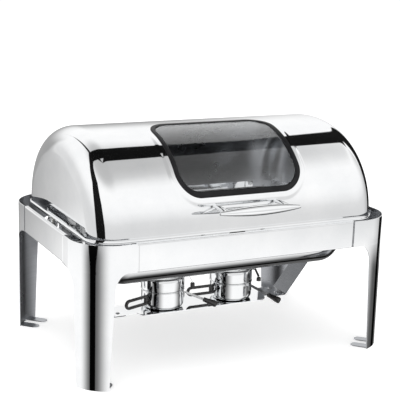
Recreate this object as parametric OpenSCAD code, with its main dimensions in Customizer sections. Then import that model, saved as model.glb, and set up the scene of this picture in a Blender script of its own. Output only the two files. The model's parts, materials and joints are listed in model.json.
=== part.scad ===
// Roll top chafer: a lidded buffet food warmer on four legs, with a water pan,
// a food pan and two fuel burners on a hanging shelf.
// +X runs along the length to the right, +Y to the back, +Z up.
// The origin is on the floor, under the middle of the whole object's box. The modules are
// drawn about the middle of the leg frame, and in_place() moves them all to that origin.

/* [Frame] */
// Length of the frame over its legs
frame_l = 660; // [600:1:720]
// Depth of the frame over its legs
frame_w = 441; // [420:1:470]
// Height of the frame's top edge above the floor
frame_h = 271; // [250:1:300]
// Height of the side panels of the frame
apron_h = 52; // [40:1:60]
// Plan radius of the rounded corner legs
corner_r = 77; // [60:1:85]
// Thickness of the frame's sheet
frame_t = 1.5; // [1:0.1:2]
// Distance from the frame's end to the seam in the front and rear panels
seam_x = 102; // [95:1:110]
// Distance from the frame's face to the seam in the end panels
seam_y = 104; // [95:1:110]

/* [Lid] */
// Length of the lid without its rim
lid_l = 599; // [580:1:605]
// Depth of the lid without its rim
lid_w = 405; // [395:1:408]
// Height of the lid above its springing line
lid_h = 174; // [160:1:185]
// Radius of the rounding between the arch and the end faces
lid_r = 50; // [35:1:60]
// Squareness of the arch, 2 is a true half ellipse
lid_power = 2.16; // [2:0.02:2.4]
// Thickness of the lid's sheet
lid_t = 1; // [0.8:0.1:2]
// How far the lid's centre lies behind the frame's centre
lid_y = 5; // [0:1:6]
// Height of the rolled rim
rim_h = 6; // [4:0.5:6]
// How far the rolled rim stands out from the lid
rim_out = 3.5; // [2:0.5:5]

/* [Window] */
// Width of the window opening
window_w = 260; // [220:1:280]
// Angle above the horizontal where the opening starts
window_low = 19.5; // [16:0.5:25]
// Angle above the horizontal where the opening ends
window_high = 85; // [75:0.5:88]
// Corner radius of the window
window_r = 44; // [30:1:60]
// Width of the rubber gasket
gasket_w = 8; // [6:0.5:10]
// Thickness of the glass
glass_t = 3; // [2:0.5:4]

/* [Handle] */
// Length of the lid handle
handle_l = 168; // [140:1:200]
// Largest thickness of the lid handle
handle_d = 20; // [16:1:24]
// Height of the lid handle above the floor
handle_z = 320; // [312:1:324]
// Distance of the handle's axis in front of the frame's centre
handle_y = 250; // [240:1:256]

/* [Hinge] */
// Distance of the hinge axis behind the frame's centre
hinge_y = 24; // [20:1:28]
// Height of the hinge axis
hinge_z = 258; // [256:1:260]
// Diameter of the hinge pin
pin_d = 8; // [6:0.5:10]
// Radial clearance of the hinge pin in its bracket
pin_fit = 0.05; // [0.02:0.01:0.1]

/* [Pans] */
// Length of the food pan over its rim
food_l = 530; // [525:1:532]
// Width of the food pan over its rim
food_w = 325; // [320:1:328]
// Depth of the food pan
food_h = 65; // [40:1:80]
// Length of the water pan's body
water_l = 516; // [512:1:520]
// Width of the water pan's body
water_w = 312; // [309:1:315]
// Height of the water pan's bottom above the floor
water_z = 165; // [160:1:175]
// Radius of the water pan's lower edges
water_r = 46; // [40:1:50]

/* [Burners] */
// Height of the burner shelf's top face
shelf_z = 70; // [66:1:72]
// Length of the wide part of the shelf
shelf_l = 290; // [270:1:310]
// Width of the wide part of the shelf
shelf_w = 90; // [88:1:94]
// Width of the struts and of the shelf's end tongues
strut_w = 52; // [40:1:60]
// Length of the shelf over its tongues
tongue_l = 392; // [380:1:400]
// Distance of each burner from the middle of the shelf
burner_x = 78; // [76:1:82]
// Diameter of a burner
burner_d = 88; // [84:1:90]
// Height of a burner with its cover
burner_h = 64; // [58:1:70]
// Height of the burner cup below its cover
cup_h = 39; // [34:1:42]
// Turn of the left burner on the shelf
left_turn = 20; // [0:1:30]

/* [Hidden] */
$fn = 96;
steel = "silver";
dark_steel = "dimgray";
bakelite = [0.06, 0.06, 0.07];
rubber = [0.1, 0.1, 0.1];

half_l = frame_l / 2;
half_w = frame_w / 2;
apron_z = frame_h - apron_h;
gap = 0.4;          // butt gap between neighbouring sheets
lap = 16;           // how far an end panel's tongue laps behind a leg
lap_gap = 0.1;      // gap between the lapped sheets
hem = 8;            // depth of the folded edges of the panels
spring_z = 269.6;   // springing line of the lid's arch
rim_z = 263.5;      // underside of the lid's rim
seg = 4;            // degrees between points of the arch

// ---------- plan shapes ----------
module rounded(l, w, r) {
    square([l - 2 * r, w], center = true);
    square([l, w - 2 * r], center = true);
    for (x = [-1, 1], y = [-1, 1])
        translate([x * (l / 2 - r), y * (w / 2 - r)]) circle(r);
}

module rounded_ring(l, w, r, inset) {
    difference() {
        rounded(l, w, r);
        rounded(l - 2 * inset, w - 2 * inset, r - inset);
    }
}

// ---------- frame ----------
leg_foot_x = half_l - corner_r + corner_r * sin(19);   // leg's edge on the floor, seen from the front
leg_foot_y = half_w - corner_r + corner_r * sin(21);   // leg's edge on the floor, seen from the end
leg_top_x = half_l - corner_r + 16;                    // leg's edge under the curved shoulder
leg_top_y = half_w - corner_r + 20;
shoulder_x = 24;                                       // width of the shoulder curve, front and rear
shoulder_y = 46;                                       // width of the shoulder curve, at the ends
shoulder_h = 35;

// Cut that narrows the leg below its wing; u runs from the middle of the frame outwards
module leg_cut(seam, foot, top, shoulder_w) {
    centre = [top - shoulder_w, apron_z - shoulder_h];
    curve = [for (a = [0 : 6 : 90]) centre + [shoulder_w * cos(a), shoulder_h * sin(a)]];
    polygon(concat([[0, -1], [foot, -1]], curve, [[0, apron_z]]));
    polygon([[0, apron_z - 0.01], [seam, apron_z - 0.01], [seam, frame_h + 1], [0, frame_h + 1]]);
}

// One corner leg, for the +X +Y corner; tabs at its foot are bent inwards
module leg() {
    color(steel) {
        difference() {
            linear_extrude(frame_h) intersection() {
                rounded_ring(frame_l, frame_w, corner_r, frame_t);
                square([half_l, half_w]);
            }
            translate([0, half_w + 1, 0]) rotate([90, 0, 0]) linear_extrude(24)
                leg_cut(half_l - seam_x + gap / 2, leg_foot_x, leg_top_x, shoulder_x);
            translate([half_l - 23, 0, 0]) rotate([90, 0, 90]) linear_extrude(24)
                leg_cut(half_w - seam_y + gap / 2, leg_foot_y, leg_top_y, shoulder_y);
        }
        translate([half_l - corner_r, half_w - corner_r, 0]) rotate(45) foot_tabs();
    }
}

tab_w = 20;
tab_l = 30;
tab_pitch = 36;
module foot_tabs() {
    reach = sqrt(pow(corner_r - frame_t, 2) - pow(tab_pitch / 2, 2));
    linear_extrude(frame_t) intersection() {
        circle(corner_r - frame_t / 2);
        for (side = [-1, 1])
            translate([reach - tab_l, side * tab_pitch / 2]) {
                circle(tab_w / 2);
                translate([0, -tab_w / 2]) square([tab_l + 6, tab_w]);
            }
    }
}

// A panel of the frame along +U, centred, with its outer face on v = 0 and inwards to -v
module panel(length) {
    channel = [
        [0, 0], [0, apron_h], [-hem, apron_h], [-hem, apron_h - frame_t],
        [-frame_t, apron_h - frame_t], [-frame_t, frame_t], [-hem, frame_t], [-hem, 0]
    ];
    lap_in = frame_t + lap_gap;
    color(steel) translate([0, 0, apron_z]) {
        rotate([90, 0, 90]) translate([0, 0, -length / 2]) linear_extrude(length) polygon(channel);
        for (side = [-1, 1])
            translate([side * (length / 2 + lap / 2 - 2), -lap_in - frame_t / 2, apron_h / 2])
                cube([lap + 4, frame_t, apron_h - 2 * hem], center = true);
    }
}

module apron_front() {
    rotate(180) translate([0, half_w, 0]) panel(frame_l - 2 * seam_x - gap);
}

module apron_rear() {
    translate([0, half_w, 0]) panel(frame_l - 2 * seam_x - gap);
}

module apron_left() {
    rotate(90) translate([0, half_l, 0]) panel(frame_w - 2 * seam_y - gap);
}

module apron_right() {
    rotate(-90) translate([0, half_l, 0]) panel(frame_w - 2 * seam_y - gap);
}

// Screw heads on the inside of the frame, where the panels lap behind the legs
module frame_screws() {
    depth = 2 * frame_t + lap_gap;
    color(steel) for (sx = [-1, 1], sy = [-1, 1], z = [-10, 10]) {
        translate([sx * (half_l - seam_x + 9), sy * (half_w - depth), apron_z + apron_h / 2 + z])
            rotate([sy * 90, 0, 0]) cylinder(h = 2.4, d = 8);
        translate([sx * (half_l - depth), sy * (half_w - seam_y + 9), apron_z + apron_h / 2 + z])
            rotate([0, -sx * 90, 0]) cylinder(h = 2.4, d = 8);
    }
}

// ---------- what carries the pans ----------
carrier_t = 2;
carrier_z = 256;
carrier_l = 570;
carrier_w = 348;
carrier_r = 64;
carrier_play = 2.5;   // gap between the carrier's opening and the water pan
ledge_t = 2;
ledge_z = carrier_z - ledge_t;
ledge_in = half_w - frame_t - 0.2;

module pan_carrier() {
    color(steel) translate([0, 0, carrier_z]) linear_extrude(carrier_t) difference() {
        rounded(carrier_l, carrier_w, carrier_r);
        rounded(water_l + 2 * carrier_play, water_w + 2 * carrier_play, water_r + carrier_play);
    }
}

module front_ledge() {
    lip = 22;
    reach = ledge_in - carrier_w / 2 + 12;
    color(steel) {
        translate([-210, -ledge_in, ledge_z]) cube([420, reach, ledge_t]);
        translate([-210, -ledge_in, ledge_z - lip]) cube([420, ledge_t, lip + 0.5]);
    }
}

bracket_w = 40;
bracket_y = -92;
module side_bracket() {
    lip = 22;
    outer = half_l - frame_t - 0.2;
    reach = outer - carrier_l / 2 + 12;
    color(steel) translate([0, bracket_y - bracket_w / 2, 0]) {
        translate([outer - reach, 0, ledge_z]) cube([reach, bracket_w, ledge_t]);
        translate([outer - ledge_t, 0, ledge_z - lip]) cube([ledge_t, bracket_w, lip + 0.5]);
    }
}

// ---------- hinge ----------
bracket_x = 306;      // inner face of the hinge bracket's cheek
bracket_t = 3;
ear_t = 2.5;
ear_x = lid_l / 2 - lid_t - ear_t;        // inner face of the ear inside the lid
ear_r = 13;

module hinge_bracket() {
    outer = half_l - frame_t - 0.2;
    cheek_h = 12;
    color(steel) difference() {
        union() {
            translate([bracket_x, hinge_y, hinge_z]) rotate([0, 90, 0]) cylinder(h = bracket_t, d = 24);
            translate([bracket_x, hinge_y - 12, hinge_z - cheek_h - 14]) cube([bracket_t, 24, cheek_h + 14]);
            translate([bracket_x, hinge_y - 12, hinge_z - cheek_h - 14])
                cube([outer - bracket_x, 24, bracket_t]);
            translate([outer - bracket_t, hinge_y - 12, hinge_z - cheek_h - 14]) cube([bracket_t, 24, 24]);
        }
        translate([bracket_x - 1, hinge_y, hinge_z]) rotate([0, 90, 0])
            cylinder(h = bracket_t + 2, d = pin_d + 2 * pin_fit);
    }
}

module hinge_pin() {
    start = ear_x + ear_t;
    color(dark_steel) translate([start, hinge_y, hinge_z]) rotate([0, 90, 0]) {
        cylinder(h = bracket_x + bracket_t + 3 - start, d = pin_d);
        translate([0, 0, bracket_x + bracket_t + 0.4 - start]) cylinder(h = 3, d = pin_d + 5);
    }
}

module hinge_washer() {
    color("ivory") translate([bracket_x - 2.2, hinge_y, hinge_z]) rotate([0, 90, 0]) difference() {
        cylinder(h = 1.8, d = 20);
        translate([0, 0, -1]) cylinder(h = 4, d = pin_d + 0.02);
    }
}

// The ear hangs from the inside of the lid's end face and carries the pin
module hinge_ear() {
    top = 292;
    color(steel) translate([ear_x, hinge_y, hinge_z]) rotate([90, 0, 90]) linear_extrude(ear_t) {
        circle(ear_r);
        translate([-ear_r, 0]) square([2 * ear_r, top - hinge_z]);
    }
}

module ear_rivets() {
    color(steel) for (side = [-1, 1], dy = [-7, 7])
        translate([side * (ear_x - 1.4), hinge_y + dy, 284]) rotate([0, side * 90, 0])
            cylinder(h = 1.4, d = 6);
}

// Rubber blocks on the hinge brackets, where the rim of the opened lid comes to rest
module lid_stops() {
    color(rubber) for (side = [-1, 1])
        translate([side * (bracket_x - 2.75) - 2.75, hinge_y, hinge_z - 26]) cube([5.5, 8.4, 8]);
}

// Rubber pads on the front ledge, where the rim of the closed lid comes to rest
module front_pads() {
    color(rubber) for (side = [-1, 1])
        translate([side * 180, lid_y - lid_w / 2 + 2, carrier_z]) cylinder(h = rim_z - carrier_z - 0.3, d = 12);
}

// ---------- pans ----------
// Tub with rounded lower edges: outside l by w, floor at z0, open at z1
module tub(l, w, r, z0, z1) {
    hull() for (x = [-1, 1], y = [-1, 1]) translate([x * (l / 2 - r), y * (w / 2 - r), 0]) {
        translate([0, 0, z0 + r]) sphere(r, $fn = 48);
        translate([0, 0, z1 - 1]) cylinder(h = 1, r = r, $fn = 48);
    }
}

pan_t = 1.2;
rim_t = 1.2;
water_rim_z = carrier_z + carrier_t;
module water_pan() {
    rim_l = water_l + 36;
    rim_w = water_w + 24;
    color(steel) difference() {
        union() {
            tub(water_l, water_w, water_r, water_z, water_rim_z + rim_t);
            translate([0, 0, water_rim_z]) linear_extrude(rim_t) rounded(rim_l, rim_w, 58);
        }
        tub(water_l - 2 * pan_t, water_w - 2 * pan_t, water_r - pan_t, water_z + pan_t, water_rim_z + 10);
    }
}

food_rim_z = water_rim_z + rim_t;
module food_pan() {
    body_l = food_l - 24;
    body_w = food_w - 24;
    r = 36;
    color(steel) difference() {
        union() {
            tub(body_l, body_w, r, food_rim_z + rim_t - food_h, food_rim_z + rim_t);
            translate([0, 0, food_rim_z]) linear_extrude(rim_t) rounded(food_l, food_w, 46);
        }
        tub(body_l - 2 * pan_t, body_w - 2 * pan_t, r - pan_t, food_rim_z + rim_t - food_h + pan_t, food_rim_z + 10);
    }
}

// ---------- shelf ----------
shelf_t = 2;
strut_in = 168;                        // inner end of the strut's foot
strut_out = carrier_l / 2 - 4;         // inner face of the strut's upright
knee_z = 176;                          // where the slope turns upright
module burner_shelf() {
    tongue_r = 6;
    color(steel) translate([0, 0, shelf_z - shelf_t]) linear_extrude(shelf_t) {
        rounded(shelf_l, shelf_w, 22);
        rounded(tongue_l, strut_w, tongue_r);
    }
}

// Flat bar: foot under the shelf, slope outwards, upright to the carrier
module shelf_strut() {
    t = 2;
    x0 = tongue_l / 2 + 1;
    z0 = shelf_z - shelf_t;
    slope = atan2(knee_z - z0, strut_out - x0);
    k = t * tan((90 - slope) / 2);
    f = t * tan(slope / 2);
    color(steel) translate([0, strut_w / 2, 0]) rotate([90, 0, 0]) linear_extrude(strut_w) polygon([
        [strut_in, z0], [x0 - f, z0], [strut_out, knee_z + k], [strut_out, carrier_z],
        [strut_out + t, carrier_z], [strut_out + t, knee_z], [x0, z0 - t], [strut_in, z0 - t]
    ]);
}

module shelf_screws() {
    color(steel) for (side = [-1, 1], dy = [-14, 14]) translate([side * 181, dy, 0]) {
        translate([0, 0, shelf_z]) cylinder(h = 1.8, d1 = 9, d2 = 5);
        translate([0, 0, shelf_z - shelf_t - 2 - 3]) cylinder(h = 3, d = 9, $fn = 6);
    }
}

// ---------- lid ----------
arch_a = lid_w / 2 - lid_r;
arch_b = lid_h - lid_r;
function sgn_pow(v, p) = sign(v) * pow(abs(v), p);
function arch_core(t) = [-arch_a * sgn_pow(cos(t), 2 / lid_power), arch_b * sgn_pow(sin(t), 2 / lid_power)];
function arch_normal(t) = let (
        c = arch_core(t),
        n = [sgn_pow(c[0], lid_power - 1) / pow(arch_a, lid_power), sgn_pow(c[1], lid_power - 1) / pow(arch_b, lid_power)]
    ) n / norm(n);
function arch_point(t, grow) = arch_core(t) + (lid_r + grow) * arch_normal(t);

// The lid's skin is a grid: rows run along the length, one for each angle of the arch, and
// columns go round the rounding at the left end and then at the right end
rows = [for (t = [0 : 5 : 180]) t];
columns = concat([for (k = [90 : -11.25 : 0]) [-1, k]], [for (k = [0 : 11.25 : 90]) [1, k]]);
nr = len(rows);
nc = len(columns);
function skin_point(t, column, grow) = let (
        r = lid_r + grow,
        yz = arch_core(t) + r * cos(column[1]) * arch_normal(t)
    ) [column[0] * (lid_l / 2 - lid_r + r * sin(column[1])), lid_y + yz[0], spring_z + yz[1]];
function skin(grow) = [for (t = rows) for (c = columns) skin_point(t, c, grow)];
function at_height(p, z) = [p[0], p[1], z];
// Plan outline of the lid at height z, once round
function outline(z, grow) = concat(
        [for (j = [0 : nc - 1]) at_height(skin_point(0, columns[j], grow), z)],
        [for (j = [nc - 1 : -1 : 0]) at_height(skin_point(180, columns[j], grow), z)]
    );

// Index lists: the lower edge of a skin that starts at vertex `from`, and a plain outline
function skin_edge(from) = concat(
        [for (j = [0 : nc - 1]) from + j], [for (j = [nc - 1 : -1 : 0]) from + (nr - 1) * nc + j]
    );
function ring(from) = [for (i = [0 : 2 * nc - 1]) from + i];
function skin_faces(from) = [
        for (i = [0 : nr - 2]) for (j = [0 : nc - 2]) let (a = from + i * nc + j)
            each [[a, a + nc, a + nc + 1], [a, a + nc + 1, a + 1]]
    ];
function end_faces(from) = [
        [for (i = [nr - 1 : -1 : 0]) from + i * nc],
        [for (i = [0 : nr - 1]) from + i * nc + nc - 1]
    ];
function strip(upper, lower) = let (n = len(upper)) [
        for (i = [0 : n - 1]) [upper[i], upper[(i + 1) % n], lower[(i + 1) % n], lower[i]]
    ];
function flipped(faces) = [for (f = faces) [for (i = [len(f) - 1 : -1 : 0]) f[i]]];

// Whole lid without its window: outer skin, rolled rim and inner skin in one closed surface
module lid_blank() {
    rim_top = rim_z + rim_h;
    inner_at = nr * nc;
    rings_at = 2 * nr * nc;
    points = concat(
        skin(0), skin(-lid_t), outline(rim_top, 0), outline(rim_top, rim_out),
        outline(rim_z, rim_out), outline(rim_z, -lid_t)
    );
    rings = [for (i = [0 : 3]) ring(rings_at + i * 2 * nc)];
    outer = concat(
        skin_faces(0), end_faces(0), strip(skin_edge(0), rings[0]),
        strip(rings[0], rings[1]), strip(rings[1], rings[2])
    );
    inner = concat(skin_faces(inner_at), end_faces(inner_at), strip(skin_edge(inner_at), rings[3]));
    polyhedron(points, concat(outer, strip(rings[2], rings[3]), flipped(inner)));
}

// Arch-shaped band between two offsets of the lid's surface, along X
module arch_band(inner, outer, length) {
    angles = [for (t = [4 : seg / 2 : 110]) t];
    last = len(angles) - 1;
    outline = concat(
        [for (t = angles) arch_point(t, outer)],
        [for (i = [0 : last]) arch_point(angles[last - i], inner)]
    );
    translate([-length / 2, lid_y, spring_z]) rotate([90, 0, 90]) linear_extrude(length) polygon(outline);
}

function on_arch(angle) = let (
        far = [for (t = [0 : 0.5 : 110]) let (p = arch_point(t, 0)) if (atan2(p[1], -p[0]) >= angle) p]
    ) far[0];
low_pt = on_arch(window_low);
high_pt = on_arch(window_high);
window_tilt = atan2(high_pt[1] - low_pt[1], high_pt[0] - low_pt[0]);
window_h = norm(high_pt - low_pt);

// Prism through the arch, square to the window's chord; grow widens its outline
module window_prism(grow) {
    mid = (low_pt + high_pt) / 2;
    translate([0, lid_y + mid[0], spring_z + mid[1]]) rotate([window_tilt, 0, 0])
        translate([0, 0, -12]) linear_extrude(120)
            rounded(window_w + 2 * grow, window_h + 2 * grow, window_r + grow);
}

module lid_shell() {
    color(steel) difference() {
        lid_blank();
        window_prism(0);
    }
}

module window_gasket() {
    color(rubber) intersection() {
        arch_band(-3.4, 1.6, window_w + 20);
        difference() {
            window_prism(-0.05);
            window_prism(-gasket_w);
        }
    }
}

module window_glass() {
    color([0.5, 0.55, 0.58, 0.4]) intersection() {
        arch_band(-glass_t, 0, window_w);
        window_prism(-gasket_w - 0.05);
    }
}

// ---------- lid handle ----------
post_x = 64;
post_d = 9;
function handle_r(u) = 3.2 + (handle_d / 2 - 3.2) * pow(cos(90 * u), 0.9);
module lid_handle() {
    steps = 24;
    color(steel) translate([0, -handle_y, handle_z]) rotate([0, 90, 0]) rotate_extrude() polygon(concat(
        [[0, -handle_l / 2]],
        [for (i = [-steps : steps]) [handle_r(abs(i) / steps), i / steps * (handle_l / 2 - 1)]],
        [[0, handle_l / 2]]
    ));
}

post_end_y = 186;       // the posts are cut off by the lid's surface before they get here
module handle_post() {
    neck = handle_r((post_x - post_d / 2) / (handle_l / 2 - 1));
    color(dark_steel) difference() {
        translate([post_x, -handle_y, handle_z]) rotate([-90, 0, 0]) difference() {
            cylinder(h = handle_y - post_end_y, d = post_d);
            rotate([90, 0, 90]) translate([0, 0, -10]) cylinder(h = 20, r = neck + 0.05);
        }
        translate([post_x, 0, 0]) arch_band(-20, 0.1, 2 * post_d);
    }
}

// Screw heads inside the lid, one behind each post
module handle_screws() {
    color(steel) for (side = [-1, 1]) difference() {
        translate([side * post_x, 2 - post_end_y, handle_z]) rotate([90, 0, 0]) cylinder(h = 8, d = 10);
        translate([side * post_x, 0, 0]) arch_band(-lid_t - 0.4, 10, 2 * post_d);
    }
}

module lid_bumper() {
    color(rubber) translate([-20 - 16, lid_y - lid_w / 2 - rim_out - 1.5, rim_z + 3]) cube([32, 1.5, 3]);
}

// ---------- burners ----------
cup_r = burner_d / 2;
wall = 1;
bottom_r = 10;
burner_z = shelf_z + 0.3;
cover_z = burner_z + cup_h;
top_z = burner_z + burner_h;

module place(side) {
    turn = side < 0 ? left_turn : 0;
    translate([side * burner_x, 0, 0]) rotate(turn) children();
}

// Cup turned from a profile: straight wall with a rolled bead at its mouth
module burner_cup() {
    color(steel) translate([0, 0, burner_z]) rotate_extrude() difference() {
        union() {
            translate([0, bottom_r]) square([cup_r - 0.8, cup_h - bottom_r - 0.3]);
            square([cup_r - 0.8 - bottom_r, bottom_r + 1]);
            translate([cup_r - 0.8 - bottom_r, bottom_r]) circle(bottom_r);
            translate([0, cup_h - 2.8]) square([cup_r + 0.6, 2.2]);
        }
        translate([-50, -1]) square([50, cup_h + 2]);
        translate([-1, bottom_r]) square([cup_r - 0.8 - wall + 1, cup_h]);
        translate([-1, wall]) square([cup_r - 0.8 - bottom_r + 1, bottom_r]);
        translate([cup_r - 0.8 - bottom_r, bottom_r]) circle(bottom_r - wall);
    }
}

vent_d = 46;
pivot_r = 33;
rivet_r = 2;
module burner_cover() {
    h = burner_h - cup_h;
    color(steel) translate([0, 0, cover_z]) difference() {
        rotate_extrude() difference() {
            union() {
                square([cup_r, h - 4]);
                square([cup_r - 4, h]);
                translate([cup_r - 4, h - 4]) circle(4);
            }
            translate([-50, -1]) square([50, h + 2]);
            translate([-1, -1]) square([cup_r - wall + 1, h - 3]);
            translate([-1, -1]) square([cup_r - 4 + 1, h - wall + 1]);
            translate([cup_r - 4, h - 4]) circle(4 - wall);
        }
        cylinder(h = 3 * h, d = vent_d);
        translate([0, pivot_r, 0]) cylinder(h = 3 * h, r = rivet_r + 0.05);
    }
}

// Shutter: disc over the vent, turning on a rivet, with a lever bent down past the edge
lever_w = 9;
lever_angle = -45;
shutter_t = 1.2;
module shutter() {
    z = top_z + 0.3;
    drop = 15;
    color(steel) {
        translate([0, 0, z]) linear_extrude(shutter_t) difference() {
            union() {
                circle(vent_d / 2 + 3);
                rotate(lever_angle) translate([0, -lever_w / 2]) square([52, lever_w]);
                translate([0, pivot_r]) circle(5.5);
                translate([-5.5, 15]) square([11, pivot_r - 15]);
            }
            translate([0, pivot_r]) circle(rivet_r + 0.05);
        }
        rotate(lever_angle) translate([52, lever_w / 2, z]) rotate([90, 0, 0]) linear_extrude(lever_w)
            polygon([[-0.01, 0], [-0.01, shutter_t], [0.6, shutter_t], [9, shutter_t - drop], [8, -drop]]);
    }
}

module shutter_knob() {
    color(bakelite) rotate(lever_angle) translate([60.5, 0, top_z - 23.3]) {
        cylinder(h = 6.5, d = 9);
        translate([0, 0, 6.5]) cylinder(h = 2, d1 = 9, d2 = 5);
    }
}

module shutter_rivet() {
    color(steel) translate([0, pivot_r, top_z - wall - 1.4]) {
        cylinder(h = wall + 1.4 + 0.3 + shutter_t + 0.3, r = rivet_r);
        cylinder(h = 1.4, r = 4);
        translate([0, 0, wall + 1.4 + shutter_t + 0.6]) cylinder(h = 1.2, r = 4);
    }
}

// Steel strap from the cup's side, sloping down to the black grip
strap_angle = -50;
strap_z = cover_z - 8;
module burner_strap() {
    strap_l = 40;
    fall = 14;
    color(steel) rotate(strap_angle) translate([cup_r - 0.8, 5, 0]) rotate([90, 0, 0]) linear_extrude(10)
        polygon([
            [0.3, strap_z - 12], [1.8, strap_z - 12], [1.8, strap_z - 2],
            [strap_l, strap_z - 2 - fall], [strap_l, strap_z - fall], [0.3, strap_z]
        ]);
}

module burner_grip() {
    color(bakelite) rotate(strap_angle) translate([cup_r + 39.4, 0, strap_z - 15]) rotate([0, 110, 0]) {
        cylinder(h = 26, d1 = 9, d2 = 13);
        translate([0, 0, 26]) cylinder(h = 3, d1 = 13, d2 = 9);
    }
}

// Black loop on the other side of the cup, to lift the burner by
loop_l = 58;
loop_h = 21;
loop_t = 7;
module burner_loop() {
    base = cup_r - 0.2;
    color(bakelite) translate([0, loop_t / 2, burner_z + 10]) rotate([90, 0, 0]) linear_extrude(loop_t)
        difference() {
            union() {
                translate([-base - loop_l + loop_h / 2, 0]) square([loop_l - loop_h / 2, loop_h]);
                translate([-base - loop_l + loop_h / 2, loop_h / 2]) circle(loop_h / 2);
            }
            translate([-base - loop_l + loop_h / 2, 6]) square([loop_l - loop_h / 2 - 6, loop_h - 12]);
            translate([-base - loop_l + loop_h / 2, loop_h / 2]) circle(loop_h / 2 - 6);
        }
}

// ---------- placing ----------
module at_left() mirror([1, 0, 0]) children();

// The handle stands out in front, so the whole box's middle lies ahead of the frame's
module in_place() translate([0, (handle_y + handle_d / 2 - half_w) / 2, 0]) children();

in_place() rotate(180) leg();  // leg_front_left
in_place() mirror([0, 1, 0]) leg();  // leg_front_right
in_place() mirror([1, 0, 0]) leg();  // leg_rear_left
in_place() leg();  // leg_rear_right
in_place() apron_front();
in_place() apron_rear();
in_place() apron_left();
in_place() apron_right();
in_place() frame_screws();
in_place() pan_carrier();
in_place() front_ledge();
in_place() at_left() side_bracket();  // side_bracket_left
in_place() side_bracket();  // side_bracket_right
in_place() at_left() hinge_bracket();  // hinge_bracket_left
in_place() hinge_bracket();  // hinge_bracket_right
in_place() at_left() hinge_pin();  // hinge_pin_left
in_place() hinge_pin();  // hinge_pin_right
in_place() at_left() hinge_washer();  // hinge_washer_left
in_place() hinge_washer();  // hinge_washer_right
in_place() lid_stops();
in_place() front_pads();
in_place() water_pan();
in_place() food_pan();
in_place() burner_shelf();
in_place() at_left() shelf_strut();  // shelf_strut_left
in_place() shelf_strut();  // shelf_strut_right
in_place() shelf_screws();
in_place() lid_shell();
in_place() window_gasket();
in_place() window_glass();
in_place() lid_handle();
in_place() at_left() handle_post();  // handle_post_left
in_place() handle_post();  // handle_post_right
in_place() handle_screws();
in_place() at_left() hinge_ear();  // hinge_ear_left
in_place() hinge_ear();  // hinge_ear_right
in_place() ear_rivets();
in_place() lid_bumper();
in_place() place(-1) burner_cup();  // burner_cup_left
in_place() place(-1) burner_cover();  // burner_cover_left
in_place() place(-1) shutter();  // shutter_left
in_place() place(-1) shutter_knob();  // shutter_knob_left
in_place() place(-1) shutter_rivet();  // shutter_rivet_left
in_place() place(-1) burner_strap();  // burner_strap_left
in_place() place(-1) burner_grip();  // burner_grip_left
in_place() place(-1) burner_loop();  // burner_loop_left
in_place() place(1) burner_cup();  // burner_cup_right
in_place() place(1) burner_cover();  // burner_cover_right
in_place() place(1) shutter();  // shutter_right
in_place() place(1) shutter_knob();  // shutter_knob_right
in_place() place(1) shutter_rivet();  // shutter_rivet_right
in_place() place(1) burner_strap();  // burner_strap_right
in_place() place(1) burner_grip();  // burner_grip_right
in_place() place(1) burner_loop();  // burner_loop_right
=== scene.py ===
"""Looks of the roll top chafer: smooth meshes, materials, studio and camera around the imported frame."""
import bpy
import bmesh
import json
import math
import numpy as np
from mathutils import Matrix, Vector


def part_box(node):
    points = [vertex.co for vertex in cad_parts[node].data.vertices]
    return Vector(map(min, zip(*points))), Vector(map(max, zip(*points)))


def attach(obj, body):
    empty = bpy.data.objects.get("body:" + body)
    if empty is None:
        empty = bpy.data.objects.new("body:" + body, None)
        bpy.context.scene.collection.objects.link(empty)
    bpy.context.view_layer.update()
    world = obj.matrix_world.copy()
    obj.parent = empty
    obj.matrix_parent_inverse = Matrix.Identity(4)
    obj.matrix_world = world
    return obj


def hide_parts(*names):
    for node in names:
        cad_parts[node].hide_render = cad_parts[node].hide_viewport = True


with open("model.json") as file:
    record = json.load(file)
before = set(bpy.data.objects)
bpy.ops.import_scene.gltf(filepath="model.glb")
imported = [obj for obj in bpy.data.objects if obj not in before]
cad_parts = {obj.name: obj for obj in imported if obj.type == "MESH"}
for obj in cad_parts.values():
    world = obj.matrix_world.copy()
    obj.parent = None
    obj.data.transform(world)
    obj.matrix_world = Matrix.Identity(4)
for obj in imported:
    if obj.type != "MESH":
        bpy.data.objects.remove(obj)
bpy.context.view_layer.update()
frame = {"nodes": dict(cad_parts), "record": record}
nodes = frame["nodes"]
scene = bpy.context.scene

# ---------- sizes, in millimetres about the middle of the leg frame ----------
MM = 0.001
low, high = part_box("leg_front_left")[0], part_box("leg_rear_right")[1]
HALF_L, HALF_W, FRAME_H = (high.x - low.x) / 2 / MM, (high.y - low.y) / 2 / MM, high.z / MM
MIDDLE = Vector((0, (high.y + low.y) / 2, 0))
APRON_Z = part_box("apron_front")[0].z / MM
CORNER_R = 77
SHEET = 1.5
SEAM_X, SEAM_Y = HALF_L - 102, HALF_W - 104
SEAM_GAP = 0.4
LEG_TOP_X, LEG_TOP_Y = 16, 20
FOOT_ANGLE_X, FOOT_ANGLE_Y = 19, 21
SHOULDER_H, SHOULDER_W = 35, 24
TAB_R, TAB_APART, TAB_REACH = 10, 18, 30
HEM_R, HEM_DEPTH = 1.6, 8
JOGGLE, JOGGLE_FROM, JOGGLE_TO = 1.3, 0.8, 4.6
LAP = 16

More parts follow.
